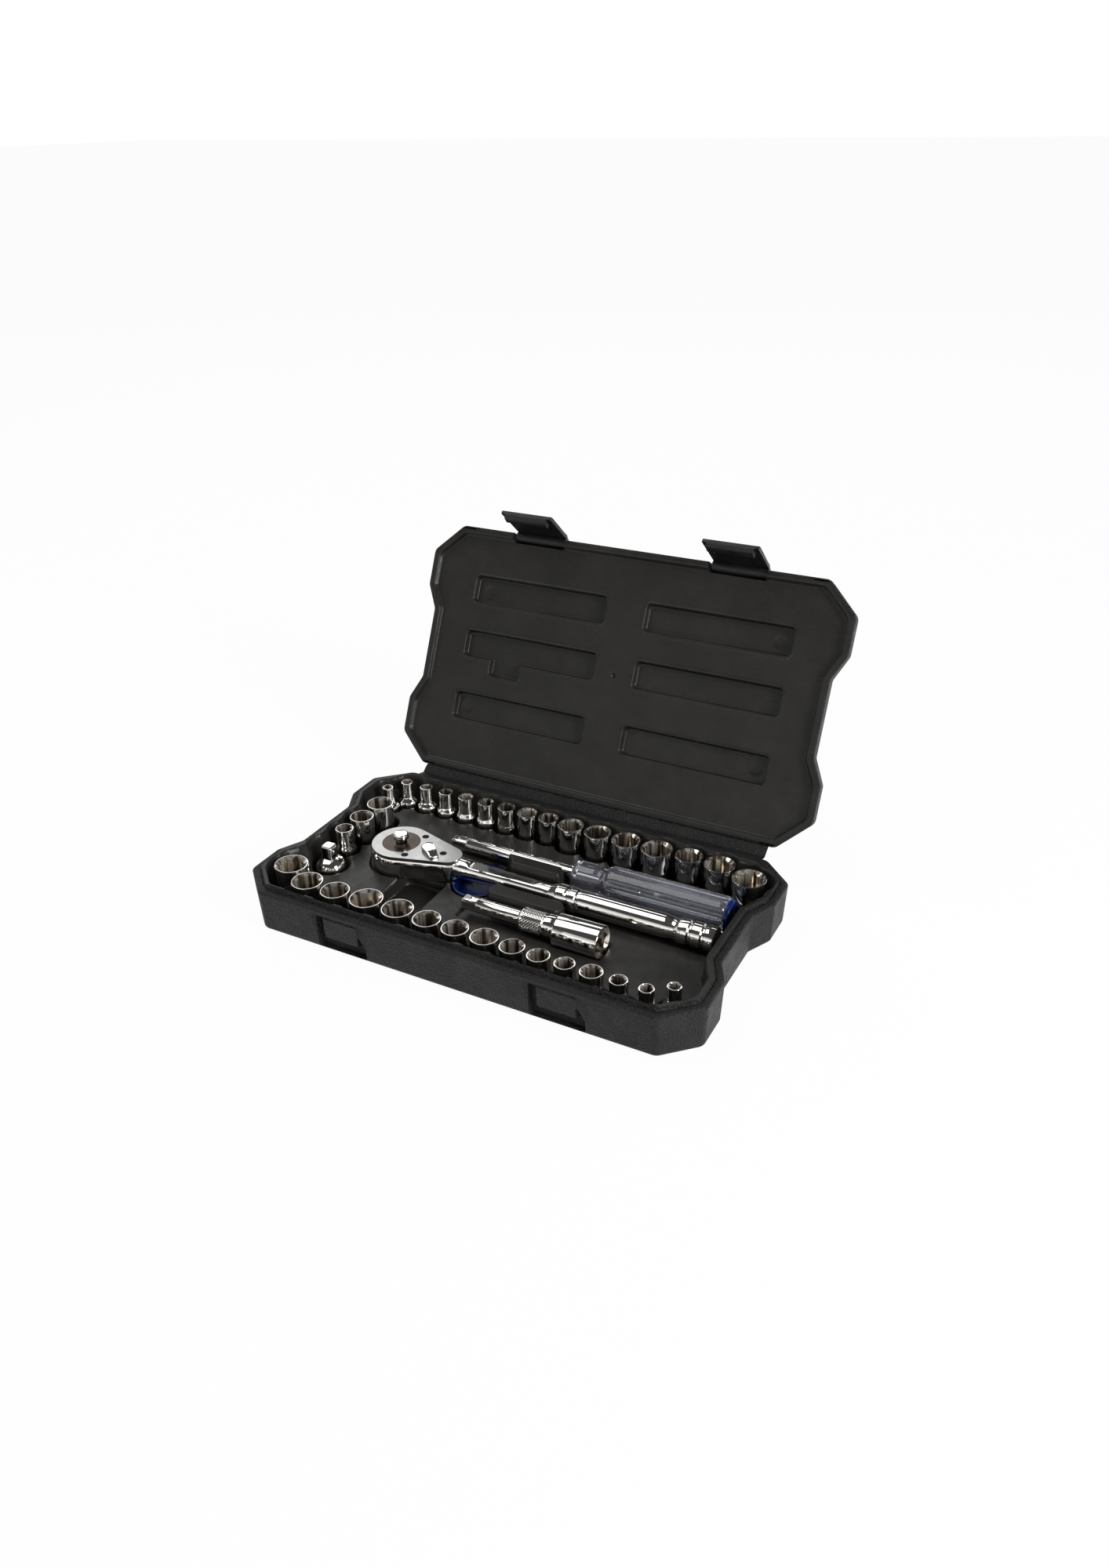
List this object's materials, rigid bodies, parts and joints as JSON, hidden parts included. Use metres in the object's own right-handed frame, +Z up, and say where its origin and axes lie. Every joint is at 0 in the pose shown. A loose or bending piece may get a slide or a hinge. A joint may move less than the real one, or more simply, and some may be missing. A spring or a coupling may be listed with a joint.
{
  "type": "socket wrench set in case",
  "caption": "Socket wrench set: ratchet, spinner handle, extension, adaptor and sockets in a hinged, latched black moulded case that stands open.",
  "frame": {"origin": "centre of the base's underside", "axes": "+X along the case, +Y to the hinge, +Z up"},
  "size_m": [0.26, 0.2273, 0.1742],
  "materials": {
    "black_case_plastic": "pebbled blow-moulded polyethylene",
    "chrome_steel": "polished chrome plate",
    "satin_steel": "satin chrome plate",
    "dark_steel": "dark oxide",
    "pin_steel": "ground",
    "clear_acetate": "clear smoky moulded handle",
    "blue_plastic": "glossy moulded"
  },
  "bodies": {
    "base": {"base_shell": "black_case_plastic", "blue_finger_bowl": "blue_plastic", "hinge_web": "black_case_plastic"},
    "lid": {"lid_shell": "black_case_plastic", "latch_pins": "pin_steel"},
    "latch_left": {"latch_left": "black_case_plastic"},
    "latch_right": {"latch_right": "black_case_plastic"},
    "ratchet": {"ratchet_body": "chrome_steel", "ratchet_cover_plate": "satin_steel", "ratchet_cover_screws": "satin_steel", "ratchet_pawl_pin": "pin_steel"},
    "drive_gear": {"ratchet_drive_gear": "dark_steel", "ratchet_drive_ball": "pin_steel"},
    "release_button": {"ratchet_release_button": "chrome_steel"},
    "reverse_lever": {"ratchet_reverse_lever": "satin_steel"},
    "pawl": {"ratchet_pawl": "dark_steel"},
    "spinner": {"spinner_grip": "clear_acetate", "spinner_end_cap": "blue_plastic", "spinner_shaft": "chrome_steel", "spinner_ball": "pin_steel"},
    "extension": {"extension_bar": "chrome_steel", "extension_ball": "pin_steel"},
    "adaptor": {"adaptor": "chrome_steel", "adaptor_ball": "pin_steel"},
    "lying_socket": {"lying_socket": "chrome_steel"},
    "back_socket_01": {"back_socket_01": "chrome_steel"},
    "back_socket_02": {"back_socket_02": "chrome_steel"},
    "back_socket_03": {"back_socket_03": "chrome_steel"},
    "back_socket_04": {"back_socket_04": "chrome_steel"},
    "back_socket_05": {"back_socket_05": "chrome_steel"},
    "back_socket_06": {"back_socket_06": "chrome_steel"},
    "back_socket_07": {"back_socket_07": "chrome_steel"},
    "back_socket_08": {"back_socket_08": "chrome_steel"},
    "back_socket_09": {"back_socket_09": "chrome_steel"},
    "back_socket_10": {"back_socket_10": "chrome_steel"},
    "back_socket_11": {"back_socket_11": "chrome_steel"},
    "back_socket_12": {"back_socket_12": "chrome_steel"},
    "back_socket_13": {"back_socket_13": "chrome_steel"},
    "back_socket_14": {"back_socket_14": "chrome_steel"},
    "back_socket_15": {"back_socket_15": "chrome_steel"},
    "back_socket_16": {"back_socket_16": "chrome_steel"},
    "front_socket_01": {"front_socket_01": "chrome_steel"},
    "front_socket_02": {"front_socket_02": "chrome_steel"},
    "front_socket_03": {"front_socket_03": "chrome_steel"},
    "front_socket_04": {"front_socket_04": "chrome_steel"},
    "front_socket_05": {"front_socket_05": "chrome_steel"},
    "front_socket_06": {"front_socket_06": "chrome_steel"},
    "front_socket_07": {"front_socket_07": "chrome_steel"},
    "front_socket_08": {"front_socket_08": "chrome_steel"},
    "front_socket_09": {"front_socket_09": "chrome_steel"},
    "front_socket_10": {"front_socket_10": "chrome_steel"},
    "front_socket_11": {"front_socket_11": "chrome_steel"},
    "front_socket_12": {"front_socket_12": "chrome_steel"},
    "front_socket_13": {"front_socket_13": "chrome_steel"},
    "front_socket_14": {"front_socket_14": "chrome_steel"},
    "front_socket_15": {"front_socket_15": "chrome_steel"},
    "left_socket_01": {"left_socket_01": "chrome_steel"},
    "left_socket_02": {"left_socket_02": "chrome_steel"},
    "left_socket_03": {"left_socket_03": "chrome_steel"}
  },
  "joints": [
    {"name": "lid_hinge", "type": "hinge", "parent": "base", "child": "lid", "pos_m": [0, 0.0781, 0.022], "axis": [-1, 0, 0], "range_deg": [-115.45, 64.5], "deforming": ["hinge_web"]},
    {"name": "latch_left_hinge", "type": "hinge", "parent": "lid", "child": "latch_left", "pos_m": [-0.0615, 0.14978, 0.153], "axis": [-1, 0, 0], "range_deg": [-15, 75]},
    {"name": "latch_right_hinge", "type": "hinge", "parent": "lid", "child": "latch_right", "pos_m": [0.0615, 0.14978, 0.153], "axis": [-1, 0, 0], "range_deg": [-15, 75]},
    {"name": "ratchet_lift", "type": "slide", "parent": "base", "child": "ratchet", "axis": [0, 0, 1], "range_m": [0, 0.04]},
    {"name": "spinner_lift", "type": "slide", "parent": "base", "child": "spinner", "axis": [0, 0, 1], "range_m": [0, 0.04]},
    {"name": "extension_lift", "type": "slide", "parent": "base", "child": "extension", "axis": [0, 0, 1], "range_m": [0, 0.04]},
    {"name": "adaptor_lift", "type": "slide", "parent": "base", "child": "adaptor", "axis": [0, 0, 1], "range_m": [0, 0.04]},
    {"name": "lying_socket_lift", "type": "slide", "parent": "base", "child": "lying_socket", "axis": [0, 0, 1], "range_m": [0, 0.04]},
    {"name": "back_socket_01_lift", "type": "slide", "parent": "base", "child": "back_socket_01", "axis": [0, 0, 1], "range_m": [0, 0.04]},
    {"name": "back_socket_02_lift", "type": "slide", "parent": "base", "child": "back_socket_02", "axis": [0, 0, 1], "range_m": [0, 0.04]},
    {"name": "back_socket_03_lift", "type": "slide", "parent": "base", "child": "back_socket_03", "axis": [0, 0, 1], "range_m": [0, 0.04]},
    {"name": "back_socket_04_lift", "type": "slide", "parent": "base", "child": "back_socket_04", "axis": [0, 0, 1], "range_m": [0, 0.04]},
    {"name": "back_socket_05_lift", "type": "slide", "parent": "base", "child": "back_socket_05", "axis": [0, 0, 1], "range_m": [0, 0.04]},
    {"name": "back_socket_06_lift", "type": "slide", "parent": "base", "child": "back_socket_06", "axis": [0, 0, 1], "range_m": [0, 0.04]},
    {"name": "back_socket_07_lift", "type": "slide", "parent": "base", "child": "back_socket_07", "axis": [0, 0, 1], "range_m": [0, 0.04]},
    {"name": "back_socket_08_lift", "type": "slide", "parent": "base", "child": "back_socket_08", "axis": [0, 0, 1], "range_m": [0, 0.04]},
    {"name": "back_socket_09_lift", "type": "slide", "parent": "base", "child": "back_socket_09", "axis": [0, 0, 1], "range_m": [0, 0.04]},
    {"name": "back_socket_10_lift", "type": "slide", "parent": "base", "child": "back_socket_10", "axis": [0, 0, 1], "range_m": [0, 0.04]},
    {"name": "back_socket_11_lift", "type": "slide", "parent": "base", "child": "back_socket_11", "axis": [0, 0, 1], "range_m": [0, 0.04]},
    {"name": "back_socket_12_lift", "type": "slide", "parent": "base", "child": "back_socket_12", "axis": [0, 0, 1], "range_m": [0, 0.04]},
    {"name": "back_socket_13_lift", "type": "slide", "parent": "base", "child": "back_socket_13", "axis": [0, 0, 1], "range_m": [0, 0.04]},
    {"name": "back_socket_14_lift", "type": "slide", "parent": "base", "child": "back_socket_14", "axis": [0, 0, 1], "range_m": [0, 0.04]},
    {"name": "back_socket_15_lift", "type": "slide", "parent": "base", "child": "back_socket_15", "axis": [0, 0, 1], "range_m": [0, 0.04]},
    {"name": "back_socket_16_lift", "type": "slide", "parent": "base", "child": "back_socket_16", "axis": [0, 0, 1], "range_m": [0, 0.04]},
    {"name": "front_socket_01_lift", "type": "slide", "parent": "base", "child": "front_socket_01", "axis": [0, 0, 1], "range_m": [0, 0.04]},
    {"name": "front_socket_02_lift", "type": "slide", "parent": "base", "child": "front_socket_02", "axis": [0, 0, 1], "range_m": [0, 0.04]},
    {"name": "front_socket_03_lift", "type": "slide", "parent": "base", "child": "front_socket_03", "axis": [0, 0, 1], "range_m": [0, 0.04]},
    {"name": "front_socket_04_lift", "type": "slide", "parent": "base", "child": "front_socket_04", "axis": [0, 0, 1], "range_m": [0, 0.04]},
    {"name": "front_socket_05_lift", "type": "slide", "parent": "base", "child": "front_socket_05", "axis": [0, 0, 1], "range_m": [0, 0.04]},
    {"name": "front_socket_06_lift", "type": "slide", "parent": "base", "child": "front_socket_06", "axis": [0, 0, 1], "range_m": [0, 0.04]},
    {"name": "front_socket_07_lift", "type": "slide", "parent": "base", "child": "front_socket_07", "axis": [0, 0, 1], "range_m": [0, 0.04]},
    {"name": "front_socket_08_lift", "type": "slide", "parent": "base", "child": "front_socket_08", "axis": [0, 0, 1], "range_m": [0, 0.04]},
    {"name": "front_socket_09_lift", "type": "slide", "parent": "base", "child": "front_socket_09", "axis": [0, 0, 1], "range_m": [0, 0.04]},
    {"name": "front_socket_10_lift", "type": "slide", "parent": "base", "child": "front_socket_10", "axis": [0, 0, 1], "range_m": [0, 0.04]},
    {"name": "front_socket_11_lift", "type": "slide", "parent": "base", "child": "front_socket_11", "axis": [0, 0, 1], "range_m": [0, 0.04]},
    {"name": "front_socket_12_lift", "type": "slide", "parent": "base", "child": "front_socket_12", "axis": [0, 0, 1], "range_m": [0, 0.04]},
    {"name": "front_socket_13_lift", "type": "slide", "parent": "base", "child": "front_socket_13", "axis": [0, 0, 1], "range_m": [0, 0.04]},
    {"name": "front_socket_14_lift", "type": "slide", "parent": "base", "child": "front_socket_14", "axis": [0, 0, 1], "range_m": [0, 0.04]},
    {"name": "front_socket_15_lift", "type": "slide", "parent": "base", "child": "front_socket_15", "axis": [0, 0, 1], "range_m": [0, 0.04]},
    {"name": "left_socket_01_lift", "type": "slide", "parent": "base", "child": "left_socket_01", "axis": [0, 0, 1], "range_m": [0, 0.04]},
    {"name": "left_socket_02_lift", "type": "slide", "parent": "base", "child": "left_socket_02", "axis": [0, 0, 1], "range_m": [0, 0.04]},
    {"name": "left_socket_03_lift", "type": "slide", "parent": "base", "child": "left_socket_03", "axis": [0, 0, 1], "range_m": [0, 0.04]},
    {"name": "drive_gear_turn", "type": "hinge", "parent": "ratchet", "child": "drive_gear", "pos_m": [-0.073, 0.0015, 0.0134], "axis": [0, 0, 1], "continuous": true},
    {"name": "release_button_press", "type": "slide", "parent": "drive_gear", "child": "release_button", "axis": [0, 0, -1], "range_m": [0, 0.002], "stiffness_N_per_m": 400, "springref_m": -0.001},
    {"name": "reverse_lever_turn", "type": "hinge", "parent": "ratchet", "child": "reverse_lever", "pos_m": [-0.0557, 0.0015, 0.0243], "axis": [0, 0, 1], "range_deg": [0, 76]},
    {"name": "pawl_rock", "type": "hinge", "parent": "ratchet", "child": "pawl", "pos_m": [-0.0603, 0.0015, 0.014], "axis": [0, 0, 1], "range_deg": [-8, 0]}
  ],
  "couplings": [
    {"joint": "pawl_rock", "follows": "reverse_lever_turn", "ratio": -0.10526}
  ]
}
